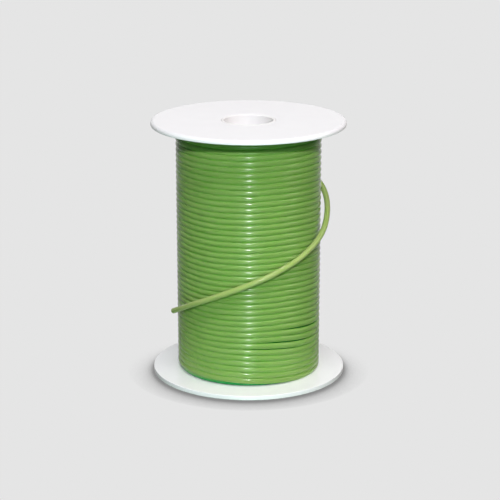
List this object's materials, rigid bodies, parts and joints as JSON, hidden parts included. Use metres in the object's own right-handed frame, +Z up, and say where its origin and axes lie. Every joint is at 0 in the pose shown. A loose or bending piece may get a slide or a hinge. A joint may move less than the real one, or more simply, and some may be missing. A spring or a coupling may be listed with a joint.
{
  "type": "wire spool",
  "caption": "White plastic spool with round flanges, a barrel and a lined arbor bore, wound full of green round wire whose free end lies across the winding.",
  "frame": {"origin": "centre of the lower flange's outer face, on which the spool stands", "axes": "+Z up along the spool's axis; the side seen first, where the free end crosses the winding, faces -Y; +X is on its right"},
  "size_m": [0.1, 0.1, 0.134],
  "materials": {
    "flange_plastic": "satin gloss, moulded",
    "barrel_plastic": "satin, extruded",
    "sleeve_plastic": "satin, extruded",
    "wire": "satin, extruded",
    "wire_tail": "satin, extruded"
  },
  "bodies": {
    "root": {"lower_flange": "flange_plastic", "upper_flange": "flange_plastic", "barrel": "barrel_plastic", "arbor_sleeve": "sleeve_plastic", "wire_start": "wire", "wire_inner_layers": "wire", "wire_outer_layer": "wire", "wire_tail": "wire_tail"}
  },
  "joints": []
}
